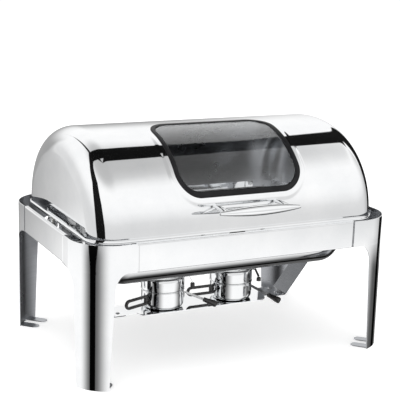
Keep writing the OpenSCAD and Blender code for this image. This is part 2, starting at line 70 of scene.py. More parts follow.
LID_L, LID_W, LID_H, LID_R = 599, 405, 174, 50
LID_POWER = 2.16
LID_Y = 5
LID_T = 1.0
SPRING_Z = 269.6
RIM_Z = 263.5
RIM_OUT = 3.5
WINDOW_W, WINDOW_R = 260, 44
WINDOW_LOW, WINDOW_HIGH = 19.5, 85
GASKET_W = 8
GLASS_T = 3
EMBOSS, EMBOSS_FROM, EMBOSS_TO = 1.3, 8.5, 15.5
CROWN_FROM, CROWN_TO = 50, 84
GLASS_SUNK = 0.4
PATCH_FROM, PATCH_TO = 6, 110
BEAD_R, BEAD_H = 1.9, 5.9
HANDLE_TIP_R, HANDLE_TIP_L = 3.2, 1.6

WATER_PAN = dict(length=516, width=312, corner_r=46, floor_z=165, rim_z=258, rim_length=552, rim_width=336)
FOOD_PAN = dict(length=506, width=301, corner_r=36, floor_z=195.4, rim_z=259.2, rim_length=530, rim_width=325)

SHELF_Z = 70
BURNER_X = 78
CUP_R, CUP_H, BURNER_H = 44, 39, 64
BURNER_Z = SHELF_Z + 0.3
LEFT_TURN = 20
CUP_WALL, CUP_FOOT_R = 1, 10
VENT_R, COVER_EDGE_R = 23, 4
LOOP_L, LOOP_H, LOOP_BAR = 58, 21, 6
GRIP_TURN, GRIP_TILT, GRIP_L = -50, 110, 29
GRIP_OUT, GRIP_DROP = 39.4, 23


# ---------- mesh building ----------
def grid(points, join_rows=False, join_columns=False):
    """Vertices and quads of a (rows, columns, 3) array of points; join closes the last one to the first."""
    points = np.asarray(points, float)
    row_count, column_count = points.shape[:2]
    faces = []
    for i in range(row_count if join_rows else row_count - 1):
        for j in range(column_count if join_columns else column_count - 1):
            here, below = i * column_count, (i + 1) % row_count * column_count
            beside = (j + 1) % column_count
            faces.append((here + j, below + j, below + beside, here + beside))
    return points.reshape(-1, 3), faces


def capped(rows):
    """Closed tube of rows that go all round, with a flat face over the first and the last row."""
    return [grid(rows, join_columns=True)] + [(row, [tuple(range(len(row)))]) for row in (rows[0], rows[-1])]


def joined(parts):
    """One vertex array and one face list from several (vertices, faces) parts."""
    verts, faces, start = [], [], 0
    for v, f in parts:
        verts.append(np.asarray(v, float).reshape(-1, 3))
        faces += [tuple(start + i for i in face) for face in f]
        start += len(verts[-1])
    return np.vstack(verts), faces


def piece(name, parts, body, material, replaces, sharp=35, outward=True):
    """A named object from mesh parts, welded, with smooth shading, riding on a CAD body."""
    verts, faces = joined(parts)
    mesh = bpy.data.meshes.new(name)
    mesh.from_pydata([tuple(v) for v in verts * MM], [], faces)
    bm = bmesh.new()
    bm.from_mesh(mesh)
    bmesh.ops.remove_doubles(bm, verts=bm.verts, dist=0.00002)
    bmesh.ops.dissolve_degenerate(bm, edges=bm.edges, dist=0.000005)
    if outward:
        bmesh.ops.recalc_face_normals(bm, faces=bm.faces)
    bmesh.ops.translate(bm, verts=bm.verts, vec=MIDDLE)
    bm.to_mesh(mesh)
    bm.free()
    mesh.polygons.foreach_set("use_smooth", [True] * len(mesh.polygons))
    mesh.set_sharp_from_angle(angle=math.radians(sharp))
    obj = bpy.data.objects.new(name, mesh)
    scene.collection.objects.link(obj)
    obj.data.materials.append(MATERIALS[material])
    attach(obj, body)
    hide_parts(*replaces)
    return obj


def rounding(obj, width, limit):
    """Rounds the edges that are sharper than limit degrees."""
    edge = obj.modifiers.new("edges", "BEVEL")
    edge.width = width * MM
    edge.segments = 2
    edge.limit_method = "ANGLE"
    edge.angle_limit = math.radians(limit)
    edge.harden_normals = True
    edge.use_clamp_overlap = True


def thickened(obj, edge, limit):
    """Gives an outer surface the sheet's thickness, inwards, and rounds its cut edges."""
    thick = obj.modifiers.new("thickness", "SOLIDIFY")
    thick.thickness = SHEET * MM
    thick.offset = -1
    rounding(obj, edge, limit)


def turn_faces(mesh, wanted):
    """Flips the faces that look against the direction wanted(face)."""
    bm = bmesh.new()
    bm.from_mesh(mesh)
    for face in bm.faces:
        if face.normal.dot(wanted(face)) < 0:
            face.normal_flip()
    bm.to_mesh(mesh)
    bm.free()


def lathe(profile, steps=96, closed=False):
    """Surface of revolution about Z of (radius, height) points; closed joins the last point to the first."""
    angles = np.linspace(0, 2 * math.pi, steps, endpoint=False)
    rows = [[(r * math.cos(a), r * math.sin(a), z) for a in angles] for r, z in profile]
    return grid(rows, join_rows=closed, join_columns=True)


def arc(cx, cy, r, start, end, steps=8):
    """Points of an arc, in degrees."""
    return [
        (cx + r * math.cos(math.radians(a)), cy + r * math.sin(math.radians(a)))
        for a in np.linspace(start, end, steps + 1)
    ]


def smooth(value, low_edge, high_edge):
    """Soft step from 0 to 1 between the two edges."""
    t = np.clip((np.asarray(value, float) - low_edge) / (high_edge - low_edge), 0, 1)
    return t * t * (3 - 2 * t)


def signed_power(value, power):
    """Power that keeps the sign of its value."""
    return np.sign(value) * np.abs(value) ** power


def oval(half_w, half_h, power=1.0, steps=24):
    """Points round an ellipse, or round a squarer shape where power is below 1."""
    angles = np.radians(np.linspace(0, 360, steps, endpoint=False))
    return [(half_w * signed_power(math.cos(a), power), half_h * signed_power(math.sin(a), power))
            for a in angles]


def moved(part, matrix):
    """The same mesh part, placed by a matrix."""
    verts, faces = part
    return [tuple(matrix @ Vector(v)) for v in verts], faces


# ---------- materials ----------
# Colour of the sheet's inward faces: duller steel, darkened far below real steel as painted shade for the
# dark reflections inside the frame and the lid
DULL_STEEL_AND_SHADE = (0.40, 0.41, 0.43)
DULL_NODES = ("shelf_strut_left", "shelf_strut_right")


class Shader:
    """Short way to build a node tree."""

    def __init__(self, name):
        self.material = bpy.data.materials.new(name)
        self.material.use_nodes = True
        self.tree = self.material.node_tree
        self.bsdf = self.tree.nodes["Principled BSDF"]

    def node(self, kind, inputs=(), **settings):
        made = self.tree.nodes.new(kind)
        for key, value in settings.items():
            setattr(made, key, value)
        by_identifier = {socket.identifier: socket for socket in made.inputs}
        for key, value in dict(inputs).items():
            self.put(value, by_identifier[key] if key in by_identifier else made.inputs[key])
        return made

    def put(self, value, socket):
        if isinstance(value, bpy.types.NodeSocket):
            self.tree.links.new(value, socket)
        else:
            socket.default_value = value

    def set(self, **inputs):
        for key, value in inputs.items():
            self.put(value, self.bsdf.inputs[key.replace("_", " ")])

    def place(self, scale=(1, 1, 1)):
        where = self.node("ShaderNodeTexCoord").outputs["Object"]
        return self.node("ShaderNodeMapping", {"Vector": where, "Scale": scale}).outputs["Vector"]

    def noise(self, vector, scale, detail=3.0, roughness=0.5):
        return self.node(
            "ShaderNodeTexNoise", {"Vector": vector, "Scale": scale, "Detail": detail, "Roughness": roughness}
        ).outputs["Fac"]

    def spread(self, value, from_low, from_high, to_low, to_high, kind="LINEAR"):
        made = self.node("ShaderNodeMapRange", {
            "Value": value, "From Min": from_low, "From Max": from_high, "To Min": to_low, "To Max": to_high},
            interpolation_type=kind)
        return made.outputs["Result"]

    def colours(self, value, first, second, start=0.3, end=0.7):
        ramp = self.node("ShaderNodeValToRGB", {"Fac": value})
        ramp.color_ramp.elements[0].position = start
        ramp.color_ramp.elements[1].position = end
        ramp.color_ramp.elements[0].color = (*first, 1)
        ramp.color_ramp.elements[1].color = (*second, 1)
        return ramp.outputs["Color"]

    def maths(self, operation, a, b=0.5):
        return self.node("ShaderNodeMath", {0: a, 1: b}, operation=operation).outputs["Value"]

    def times(self, first, *others):
        """Product of all the values."""
        for value in others:
            first = self.maths("MULTIPLY", first, value)
        return first

    def bump(self, height, strength, distance, normal=None):
        inputs = {"Height": height, "Strength": strength, "Distance": distance}
        if normal is not None:
            inputs["Normal"] = normal
        return self.node("ShaderNodeBump", inputs).outputs["Normal"]

    def edge_wear(self, start=0.52, end=0.62):
        geometry = self.node("ShaderNodeNewGeometry")
        return self.spread(geometry.outputs["Pointiness"], start, end, 0.0, 1.0)


def polish(s):
    """Mirror polish with faint smears, sheet waves and polishing lines; returns its colour and roughness."""
    smears = s.noise(s.place(), 14.0, 4.0, 0.6)
    sheet_waves = s.noise(s.place(), 7.0, 1.0)
    polish_lines = s.noise(s.place((6, 900, 900)), 1.0, 2.0)
    colour = s.colours(smears, (0.86, 0.87, 0.88), (0.93, 0.935, 0.94))
    worn = s.maths("MULTIPLY", s.edge_wear(), 0.08)
    s.set(Metallic=1.0, Normal=s.bump(polish_lines, 0.05, 0.00001, s.bump(sheet_waves, 0.25, 0.0002)))
    return colour, s.maths("ADD", s.spread(smears, 0.3, 0.75, 0.025, 0.065), worn)


def polished_steel():
    s = Shader("polished_steel")
    colour, roughness = polish(s)
    s.set(Base_Color=colour, Roughness=roughness)
    return s.material


def polished_sheet():
    """Sheet that is polished on its outer side only: the side that looks inwards is duller, and its much
    darker colour is painted shade for the dark reflections on the inner faces.
    """
    s = Shader("polished_sheet")
    colour, roughness = polish(s)
    coords = s.node("ShaderNodeTexCoord")
    from_middle = s.node("ShaderNodeVectorMath", {
        0: coords.outputs["Object"], 1: (MIDDLE.x, MIDDLE.y, 0.25)}, operation="SUBTRACT")
    facing = s.node("ShaderNodeVectorMath", {
        0: from_middle.outputs["Vector"], 1: coords.outputs["Normal"]}, operation="DOT_PRODUCT")
    inner = s.spread(facing.outputs["Value"], 0.0, -0.005, 0.0, 1.0)
    grain = s.noise(s.place((5, 5, 500)), 1.0, 3.0)
    # Inward faces get painted shade: a colour far darker than the polished side, with a little grain; the
    # added roughness below is the real duller finish
    dull_and_shade = s.colours(grain, DULL_STEEL_AND_SHADE, tuple(1.12 * c for c in DULL_STEEL_AND_SHADE))
    mix = s.node("ShaderNodeMix", {"Factor": inner, "A_Color": colour, "B_Color": dull_and_shade}, data_type="RGBA")
    mixed = next(socket for socket in mix.outputs if socket.identifier == "Result_Color")
    s.set(Base_Color=mixed, Roughness=s.maths("ADD", roughness, s.maths("MULTIPLY", inner, 0.24)))
    return s.material


def dull_sheet():
    """Rough steel with a very dark colour, for the struts below the pan."""
    s = Shader("dull_sheet")
    grain = s.noise(s.place((5, 5, 500)), 1.0, 3.0)
    stains = s.noise(s.place(), 18.0, 4.0, 0.6)
    # Colour is 0.42 to 0.52 of the darkened inner-face colour, so darker still
    darker, lighter = (tuple(share * c for c in DULL_STEEL_AND_SHADE) for share in (0.42, 0.52))
    s.set(
        Metallic=1.0,
        Base_Color=s.colours(stains, darker, lighter),
        Roughness=s.spread(grain, 0.2, 0.8, 0.2, 0.32),
        Normal=s.bump(grain, 0.1, 0.00002),
    )
    return s.material


def satin_steel():
    """Brushed steel with water stains, for the food pan and the small parts."""
    s = Shader("satin_steel")
    lines = s.noise(s.place((4, 700, 700)), 1.0, 3.0)
    stains = s.noise(s.place(), 22.0, 4.0, 0.6)
    s.set(
        Metallic=1.0,
        Base_Color=s.colours(stains, (0.60, 0.61, 0.62), (0.72, 0.725, 0.73)),
        Roughness=s.maths("ADD", s.spread(lines, 0.2, 0.8, 0.14, 0.26), s.maths("MULTIPLY", stains, 0.06)),
        Normal=s.bump(lines, 0.15, 0.00002),
    )
    return s.material


def window_glass():
    """Clear glass with a little dust."""
    s = Shader("window_glass")
    dust = s.noise(s.place(), 30.0, 5.0, 0.65)
    s.set(
        Base_Color=s.colours(dust, (0.93, 0.95, 0.96), (0.96, 0.97, 0.98)),
        Roughness=s.spread(dust, 0.55, 0.8, 0.0, 0.03),
        IOR=1.5,
    )
    s.bsdf.inputs["Transmission Weight"].default_value = 1.0
    return s.material


def black_rubber():
    """Matt rubber with paler marks."""
    s = Shader("black_rubber")
    grain = s.noise(s.place(), 900.0, 2.0)
    marks = s.noise(s.place(), 35.0, 4.0)
    s.set(
        Base_Color=s.colours(marks, (0.004, 0.004, 0.005), (0.012, 0.012, 0.013)),
        Roughness=s.spread(marks, 0.3, 0.7, 0.34, 0.48),
        Specular_IOR_Level=0.2,
        Normal=s.bump(grain, 0.25, 0.00008),
    )
    return s.material


def black_bakelite():
    """Moulded black plastic with a thin gloss."""
    s = Shader("black_bakelite")
    flow = s.noise(s.place((1, 1, 2.5)), 60.0, 5.0, 0.6)
    pits = s.noise(s.place(), 600.0, 2.0)
    s.set(
        Base_Color=s.colours(flow, (0.008, 0.008, 0.009), (0.022, 0.020, 0.019)),
        Roughness=s.spread(flow, 0.3, 0.7, 0.16, 0.3),
        Normal=s.bump(pits, 0.12, 0.00005),
    )
    s.bsdf.inputs["Coat Weight"].default_value = 0.4
    s.bsdf.inputs["Coat Roughness"].default_value = 0.08
    return s.material


def white_nylon():
    """Milky plastic of the hinge washers."""
    s = Shader("white_nylon")
    flow = s.noise(s.place(), 80.0, 4.0)
    s.set(
        Base_Color=s.colours(flow, (0.66, 0.65, 0.60), (0.78, 0.77, 0.73)),
        Roughness=s.spread(flow, 0.3, 0.7, 0.35, 0.5),
        Normal=s.bump(flow, 0.2, 0.0001),
    )
    return s.material


def pale_floor():
    """White studio floor that glows a little, so that it stays as pale as the tent."""
    s = Shader("pale_floor")
    cloud = s.noise(s.place(), 1.5, 3.0)
    s.set(
        Base_Color=s.colours(cloud, (0.93, 0.93, 0.93), (0.95, 0.95, 0.95)),
        Roughness=s.spread(cloud, 0.3, 0.7, 0.7, 0.8),
        Emission_Color=(1, 1, 1, 1),
        Emission_Strength=0.36,
    )
    return s.material


MATERIALS = {
    make.__name__: make()
    for make in (
        polished_steel, polished_sheet, dull_sheet, satin_steel,
        window_glass, black_rubber, black_bakelite, white_nylon,
    )
}


# ---------- frame ----------
def along_corner(distance):
    """Leg's outer plan, from the front face round the corner: distance 0 is where the corner starts."""
    quarter = CORNER_R * math.pi / 2
    cx, cy = HALF_L - CORNER_R, HALF_W - CORNER_R
    if distance < 0:
        return cx + distance, HALF_W
    if distance > quarter:
        return HALF_L, cy - (distance - quarter)
    angle = distance / CORNER_R
    return cx + CORNER_R * math.sin(angle), cy + CORNER_R * math.cos(angle)


def distance_of(offset):
    """Distance along the corner of a point that lies offset beyond the corner's start, seen square on."""
    return offset if offset < 0 else CORNER_R * math.asin(offset / CORNER_R)


def leg_edge(z, foot, top, width):
    """Offset of the leg's edge from the corner's start at height z, below the panels."""
    bend = APRON_Z - SHOULDER_H
    if z <= bend:
        return foot + (top - foot) * z / bend
    drop = min(1, (z - bend) / SHOULDER_H)
    return top - width + width * math.sqrt(max(0, 1 - drop * drop))


def leg(name, sx, sy):
    """Leg: rows round the corner, a wing along the front or back panel, and two tabs at the foot."""
    quarter = CORNER_R * math.pi / 2
    foot_x = CORNER_R * math.sin(math.radians(FOOT_ANGLE_X))
    foot_y = CORNER_R * math.sin(math.radians(FOOT_ANGLE_Y))
    wing_x = SEAM_X - (HALF_L - CORNER_R) + SEAM_GAP / 2
    wing_y = SEAM_Y - (HALF_W - CORNER_R) + SEAM_GAP / 2
    inner_x = LEG_TOP_X - SHOULDER_W
    bend = APRON_Z - SHOULDER_H
    beside_panels = np.linspace(APRON_Z, FRAME_H, 9)
    heights = list(np.linspace(0, bend, 30))
    heights += [bend + SHOULDER_H * math.sin(a) for a in np.radians(np.linspace(4.5, 90, 20))]
    heights += list(beside_panels[1:])
    rows = []
    for z in heights:
        if z > APRON_Z + 0.001:
            start, end = inner_x, quarter - distance_of(wing_y)
        else:
            start = distance_of(leg_edge(z, foot_x, LEG_TOP_X, SHOULDER_W))
            end = quarter - distance_of(leg_edge(z, foot_y, LEG_TOP_Y, LEG_TOP_Y - wing_y))
        rows.append([(*along_corner(d), z) for d in np.linspace(start, end, 61)])
    wing = [[(*along_corner(d), z) for d in np.linspace(wing_x, inner_x, 6)] for z in beside_panels]
    parts = [grid(rows), grid(wing)] + [foot_tab(side) for side in (-1, 1)]
    parts = [(np.asarray(v) * (sx, sy, 1), f) for v, f in parts]
    obj = piece(name + "_sheet", parts, "frame", "polished_sheet", [name], outward=False)
    inside = Vector((sx * (HALF_L - 200), sy * (HALF_W - 150), 0)) * MM + MIDDLE

    def away(face):
        """Away from a point well inside the frame, or up where the face lies flat."""
        if abs(face.normal.z) >= 0.5:
            return Vector((0, 0, 1))
        direction = face.calc_center_median() - inside
        return Vector((direction.x, direction.y, 0))

    turn_faces(obj.data, away)
    thickened(obj, 0.4, 40)


def foot_tab(side):
    """Flat tab that is bent inwards at the leg's foot."""
    inner_r = CORNER_R - SHEET / 2
    middle = side * TAB_APART
    centre_x = math.sqrt((CORNER_R - SHEET) ** 2 - middle**2) - TAB_REACH
    outline = arc(centre_x, middle, TAB_R, 90, 270, 16)
    outline += [(math.sqrt(inner_r**2 - y * y), y) for y in np.linspace(middle - TAB_R, middle + TAB_R, 9)]
    turn = math.radians(45)
    cx, cy = HALF_L - CORNER_R, HALF_W - CORNER_R
    ring = [
        (cx + x * math.cos(turn) - y * math.sin(turn), cy + x * math.sin(turn) + y * math.cos(turn), SHEET)
        for x, y in outline
    ]
    return ring, [tuple(range(len(ring)))]


def panel(name, length, matrix):
    """Straight panel: folded edges above and below, and a shallow joggle beside each leg."""
    flange = [-HEM_DEPTH, -HEM_DEPTH / 2]
    section = [(out, FRAME_H) for out in flange] + arc(-HEM_R, FRAME_H - HEM_R, HEM_R, 90, 0, 6)
    section += [(0, z) for z in np.linspace(FRAME_H - 3, APRON_Z + 3, 12)]
    section += arc(-HEM_R, APRON_Z + HEM_R, HEM_R, 0, -90, 6) + [(out, APRON_Z) for out in reversed(flange)]
    half = length / 2
    near_seam = list(np.arange(0, 5.5, 0.5)) + [6]
    stations = [-half + s for s in near_seam] + list(np.linspace(-half + 12, half - 12, 24))
    stations += [half - s for s in reversed(near_seam)]
    rows = []
    for u in stations:
        sunk = JOGGLE * (1 - smooth(half - abs(u), JOGGLE_FROM, JOGGLE_TO))
        rows.append([(u, out - sunk, z) for out, z in section])
    laps = [
        grid([[(side * u, -SHEET - 0.15, z) for z in np.linspace(APRON_Z + 8, FRAME_H - 8, 5)]
              for u in np.linspace(half - 1.9, half + LAP - 0.1, 4)])
        for side in (-1, 1)
    ]
    parts = [moved(part, matrix) for part in [grid(rows)] + laps]
    obj = piece(name + "_sheet", parts, "frame", "polished_steel", [name], outward=False, sharp=50)
    out = matrix.to_3x3() @ Vector((0, 1, 0))
    middle_z = (APRON_Z + FRAME_H) / 2 * MM

    def outwards(face):
        """Out of the frame, or up and down on the folded edges."""
        if abs(face.normal.z) < 0.7:
            return out
        return Vector((0, 0, face.calc_center_median().z - middle_z))

    turn_faces(obj.data, outwards)
    thickened(obj, 0.35, 60)


def panels():
    """The four panels, each turned to its side of the frame."""
    front_l, side_l = 2 * SEAM_X - SEAM_GAP, 2 * SEAM_Y - SEAM_GAP
    for name, length, turn, out in (
        ("apron_front", front_l, 180, HALF_W), ("apron_rear", front_l, 0, HALF_W),
        ("apron_left", side_l, 90, HALF_L), ("apron_right", side_l, -90, HALF_L),
    ):
        panel(name, length, Matrix.Rotation(math.radians(turn), 4, "Z") @ Matrix.Translation((0, out, 0)))


# ---------- pans ----------
def rounded_outline(length, width, corner_r, steps=14):
    """Points and outward normals round a rounded rectangle, anticlockwise from its right side."""
    points = []
    for sx, sy, start in ((1, 1, 0), (-1, 1, 90), (-1, -1, 180), (1, -1, 270)):
        cx, cy = sx * (length / 2 - corner_r), sy * (width / 2 - corner_r)
        for a in np.radians(np.linspace(start, start + 90, steps + 1)):
            n = (math.cos(a), math.sin(a))
            points.append(((cx + corner_r * n[0], cy + corner_r * n[1]), n))
        ax, ay = points[-1][0]
        nx, ny = round(n[0]), round(n[1])
        side = (length if ny else width) - 2 * corner_r
        for f in np.linspace(0, 1, 26)[1:-1]:
            points.append(((ax - ny * side * f, ay + nx * side * f), (nx, ny)))
    return points


def tub_rows(outline, profile):
    """Rows of a drawn pan: profile lists (inset, height), with the inset taken square to the outline."""
    return [[(x - n[0] * inset, y - n[1] * inset, z) for (x, y), n in outline] for inset, z in profile]


def pan(name, material, length, width, corner_r, floor_z, rim_z, rim_length, rim_width, wall=1.2):
    """Drawn pan with a flat rim; floor_z and rim_z are the undersides of its floor and of its rim."""
    outline = rounded_outline(length, width, corner_r)
    reach_x, reach_y = (rim_length - length) / 2, (rim_width - width) / 2
    top = rim_z + wall
    bend_top = floor_z + corner_r

    def bend(radius):
        return [(corner_r - radius * math.cos(a), bend_top - radius * math.sin(a))
                for a in np.radians(np.linspace(90, 0, 15))]

    outside = bend(corner_r) + [(0, z) for z in np.linspace(bend_top, rim_z - 0.01, 6)[1:]]
    inside = bend(corner_r - wall) + [(wall, z) for z in np.linspace(bend_top, top - 3, 5)[1:]]
    inside += [(wall * 0.9, top - 1.0), (wall * 0.4, top - 0.25), (-0.4, top)]
    rim_profile = [(f, top) for f in (0.15, 0.5, 0.9)] + [(0.97, top - 0.2), (1.0, top - 0.6)]
    rim_profile += [(0.97, rim_z + 0.1)] + [(f, rim_z) for f in (0.9, 0.4, 0.02)]
    rim = [[(x + n[0] * reach_x * f, y + n[1] * reach_y * f, z) for (x, y), n in outline]
           for f, z in rim_profile]
    shell = tub_rows(outline, inside) + rim + tub_rows(outline, outside)[::-1]
    return piece(name + "_drawn", capped(shell), "frame", material, [name], sharp=40)


# ---------- lid ----------
ARCH_A, ARCH_B = LID_W / 2 - LID_R, LID_H - LID_R


def arch(t):
    """Points (y, z) of the lid's arch at angles t in degrees, their normals and the arch's core."""
    t = np.radians(np.asarray(t, float))
    c, s = np.cos(t), np.clip(np.sin(t), 0, 1)
    core = np.stack([-ARCH_A * signed_power(c, 2 / LID_POWER), ARCH_B * signed_power(s, 2 / LID_POWER)], -1)
    n = np.stack([
        signed_power(core[..., 0], LID_POWER - 1) / ARCH_A**LID_POWER,
        signed_power(core[..., 1], LID_POWER - 1) / ARCH_B**LID_POWER,
    ], -1)
    n /= np.linalg.norm(n, axis=-1, keepdims=True)
    return core + LID_R * n, n, core


FINE_T = np.linspace(0, 180, 3601)
FINE_P = arch(FINE_T)[0]
FINE_POLAR = np.degrees(np.arctan2(FINE_P[:, 1], -FINE_P[:, 0]))
T_LOW, T_HIGH = np.interp([WINDOW_LOW, WINDOW_HIGH], FINE_POLAR, FINE_T)
LOW_PT, HIGH_PT = arch(T_LOW)[0], arch(T_HIGH)[0]
WINDOW_H = float(np.linalg.norm(HIGH_PT - LOW_PT))
CHORD = (HIGH_PT - LOW_PT) / WINDOW_H
CHORD_MID = (HIGH_PT + LOW_PT) / 2
FINE_S = (FINE_P - CHORD_MID) @ CHORD


def chord_of(t):
    """Distance along the window's chord of the arch point at angle t."""
    return np.interp(t, FINE_T, FINE_S)


def angle_at(s):
    """Arch angle of a point that lies s along the window's chord."""
    part = FINE_T <= 120
    return np.interp(s, FINE_S[part], FINE_T[part])


def lid_point(x, t, grow):
    """Points of the lid at x and arch angle t, grow outside its surface; all may be arrays."""
    _, n, core = arch(t)
    p = core + (LID_R + np.asarray(grow))[..., None] * n
    return np.stack([np.broadcast_to(x, np.shape(t)), LID_Y + p[..., 0], SPRING_Z + p[..., 1]], -1)


def emboss(n, t):
    """Height of the pressed border, n outside the window's edge; it dies out towards the crown."""
    return EMBOSS * (1 - smooth(n, EMBOSS_FROM, EMBOSS_TO)) * (1 - 0.92 * smooth(t, CROWN_FROM, CROWN_TO))


def window_ray(angles, n=0.0):
    """Where rays from the window's middle cross its outline, moved outwards by n."""
    hx, hs, r = WINDOW_W / 2 + n, WINDOW_H / 2 + n, WINDOW_R + n
    out = []
    for a in angles:
        dx, ds = math.cos(a), math.sin(a)
        reach = min(hx / max(abs(dx), 1e-9), hs / max(abs(ds), 1e-9))
        px, ps = dx * reach, ds * reach
        if abs(px) > hx - r and abs(ps) > hs - r:
            cx, cs = math.copysign(hx - r, dx), math.copysign(hs - r, ds)
            along = dx * cx + ds * cs
            reach = along + math.sqrt(max(0, along**2 - (cx**2 + cs**2) + r * r))
            px, ps = dx * reach, ds * reach
        out.append((px, ps))
    return np.array(out)


T_STEPS = np.concatenate([
    np.linspace(0, PATCH_FROM, 5), np.linspace(PATCH_FROM, PATCH_TO, 70)[1:],
    np.linspace(PATCH_TO, 180, 48)[1:],
])
X_STEPS = np.linspace(-1, 1, 61) * (LID_L / 2 - LID_R)
BELOW_PATCH, ABOVE_PATCH = T_STEPS <= PATCH_FROM + 1e-9, T_STEPS >= PATCH_TO - 1e-9
T_PATCH = T_STEPS[(T_STEPS >= PATCH_FROM - 1e-9) & (T_STEPS <= PATCH_TO + 1e-9)]


def window_patch(grow):
    """The lid around its window, in rings that grow from the window's outline to a rectangle."""
    right = X_STEPS[-1]
    border = [(x, T_PATCH[0]) for x in X_STEPS[:-1]] + [(right, t) for t in T_PATCH[:-1]]
    border += [(x, T_PATCH[-1]) for x in X_STEPS[:0:-1]] + [(-right, t) for t in T_PATCH[:0:-1]]
    border = np.array(border)
    outer = np.stack([border[:, 0], chord_of(border[:, 1])], -1)
    angles = np.arctan2(outer[:, 1], outer[:, 0])
    rings = []
    for n in (0, 1, 2, 4, 6, 7.5, 8.5, 9.2, 10, 11, 12, 13, 14, 14.8, 15.5, 17, 20):
        ring = window_ray(angles, n)
        t = angle_at(ring[:, 1])
        rings.append(lid_point(ring[:, 0], t, grow + emboss(n, t)))
    last, t_last = ring, t
    for f in np.linspace(0, 1, 19)[1:]:
        x = last[:, 0] * (1 - f) + outer[:, 0] * f
        t = t_last * (1 - f) + border[:, 1] * f
        rings.append(lid_point(x, t, grow))
    return np.array(rings)


def end_rows(side, grow):
    """The rounding at one end of the lid, from the arch to the flat end face, and the face itself."""
    _, n, core = arch(T_STEPS)
    r = LID_R + grow
    rows = []
    for k in np.radians(np.linspace(0, 90, 25)):
        p = core + r * math.cos(k) * n
        x = np.full(len(p), side * (LID_L / 2 - LID_R + r * math.sin(k)))
        rows.append(np.stack([x, LID_Y + p[:, 0], SPRING_Z + p[:, 1]], -1))
    edge = rows[-1]
    for f in np.linspace(0, 1, 9)[1:]:
        row = edge.copy()
        row[:, 2] = SPRING_Z + (edge[:, 2] - SPRING_Z) * (1 - f)
        rows.append(row)
    return np.array(rows)


def lid_outline(offset, z):
    """The lid's plan at height z, in step with the lower edge of its skin."""
    r = LID_R + offset
    core_y = arch(T_STEPS)[2][:, 0]
    loop = [(x, LID_Y - LID_W / 2 - offset) for x in X_STEPS]
    ks = np.radians(np.linspace(0, 90, 25))
    cx, cy = LID_L / 2 - LID_R, LID_W / 2 - LID_R
    loop += [(cx + r * math.sin(k), LID_Y - cy - r * math.cos(k)) for k in ks[1:]]
    loop += [(cx + r, LID_Y + y) for y in core_y[1:]]
    loop += [(cx + r * math.sin(k), LID_Y + cy + r * math.cos(k)) for k in ks[::-1][1:]]
    loop += [(x, LID_Y + LID_W / 2 + offset) for x in X_STEPS[::-1][1:]]
    loop += [(-cx - r * math.sin(k), LID_Y + cy + r * math.cos(k)) for k in ks[1:]]
    loop += [(-cx - r, LID_Y + y) for y in core_y[::-1][1:]]
    loop += [(-cx - r * math.sin(k), LID_Y - cy - r * math.cos(k)) for k in ks[::-1][1:-1]]
    return [(x, y, z) for x, y in loop]


def lid_skin(grow):
    parts = [grid(window_patch(grow), join_columns=True)]
    for part in (BELOW_PATCH, ABOVE_PATCH):
        parts.append(grid([[lid_point(x, t, grow) for t in T_STEPS[part]] for x in X_STEPS]))
    parts += [grid(end_rows(side, grow)) for side in (-1, 1)]
    return parts


def lid_shell():
    """Dome with its pressed window border and rolled rim, one sheet thick."""
    top = RIM_Z + BEAD_H
    bead = [(0, SPRING_Z), (0.15, top + 0.02), (0.6, top - 0.2), (1.1, top - 0.25)]
    bead += arc(RIM_OUT - BEAD_R, top - 0.25 - BEAD_R, BEAD_R, 90, 0, 7)
    bead += arc(RIM_OUT - BEAD_R, RIM_Z + BEAD_R, BEAD_R, 0, -90, 7)
    bead += [(0.6, RIM_Z), (-LID_T, RIM_Z), (-LID_T, RIM_Z + 3), (-LID_T, SPRING_Z)]
    parts = lid_skin(0.0) + lid_skin(-LID_T) + [grid([lid_outline(o, z) for o, z in bead], join_columns=True)]
    opening = [window_patch(grow)[0] for grow in (0.0, -0.5, -LID_T)]
    parts.append(grid(opening, join_columns=True))
    return piece("lid_dome", parts, "lid", "polished_sheet", ["lid_shell"], sharp=45)


def window_loop(n, grow):
    """Points round the window, n outside its edge and grow above the lid's surface."""
    outline = rounded_outline(WINDOW_W + 2 * n, WINDOW_H + 2 * n, WINDOW_R + n, steps=18)
    loop = np.array([point for point, _ in outline])
    t = angle_at(loop[:, 1])
    return lid_point(loop[:, 0], t, grow + emboss(0, t))


def window_gasket():
    """Rubber seal: a rounded lip over the steel's edge and a flat band down to the glass."""
    section = [(1.8, 0.05), (1.9, 0.6), (1.4, 1.15), (0.2, 1.45), (-2.0, 1.55), (-4.5, 1.5), (-6.4, 1.2),
               (-7.4, 0.7), (-7.9, 0.0), (-8.0, -1.0), (-7.9, -2.6), (-6.5, -3.3), (-3.0, -3.4), (-0.6, -3.3),
               (-0.25, -2.0), (-0.25, -0.3), (0.2, 0.03)]
    rows = [window_loop(n, grow) for n, grow in section]
    return piece("window_seal", [grid(rows, join_rows=True, join_columns=True)], "lid", "black_rubber",
                 ["window_gasket"], sharp=60)


def window_pane():
    """Curved glass, from the middle of the window out to the seal."""
    under_seal = 2 * GASKET_W + 0.2
    outline = rounded_outline(WINDOW_W - under_seal, WINDOW_H - under_seal, WINDOW_R - GASKET_W, steps=16)
    edge = np.array([point for point, _ in outline])
    outside, inside = [], []
    for f in np.linspace(0, 1, 23)[1:]:
        ring = edge * f
        t = angle_at(ring[:, 1])
        outside.append(lid_point(ring[:, 0], t, -GLASS_SUNK))
        inside.append(lid_point(ring[:, 0], t, -GLASS_T))
    return piece("window_pane", capped(outside + inside[::-1]), "lid", "window_glass",
                 ["window_glass"], sharp=50)


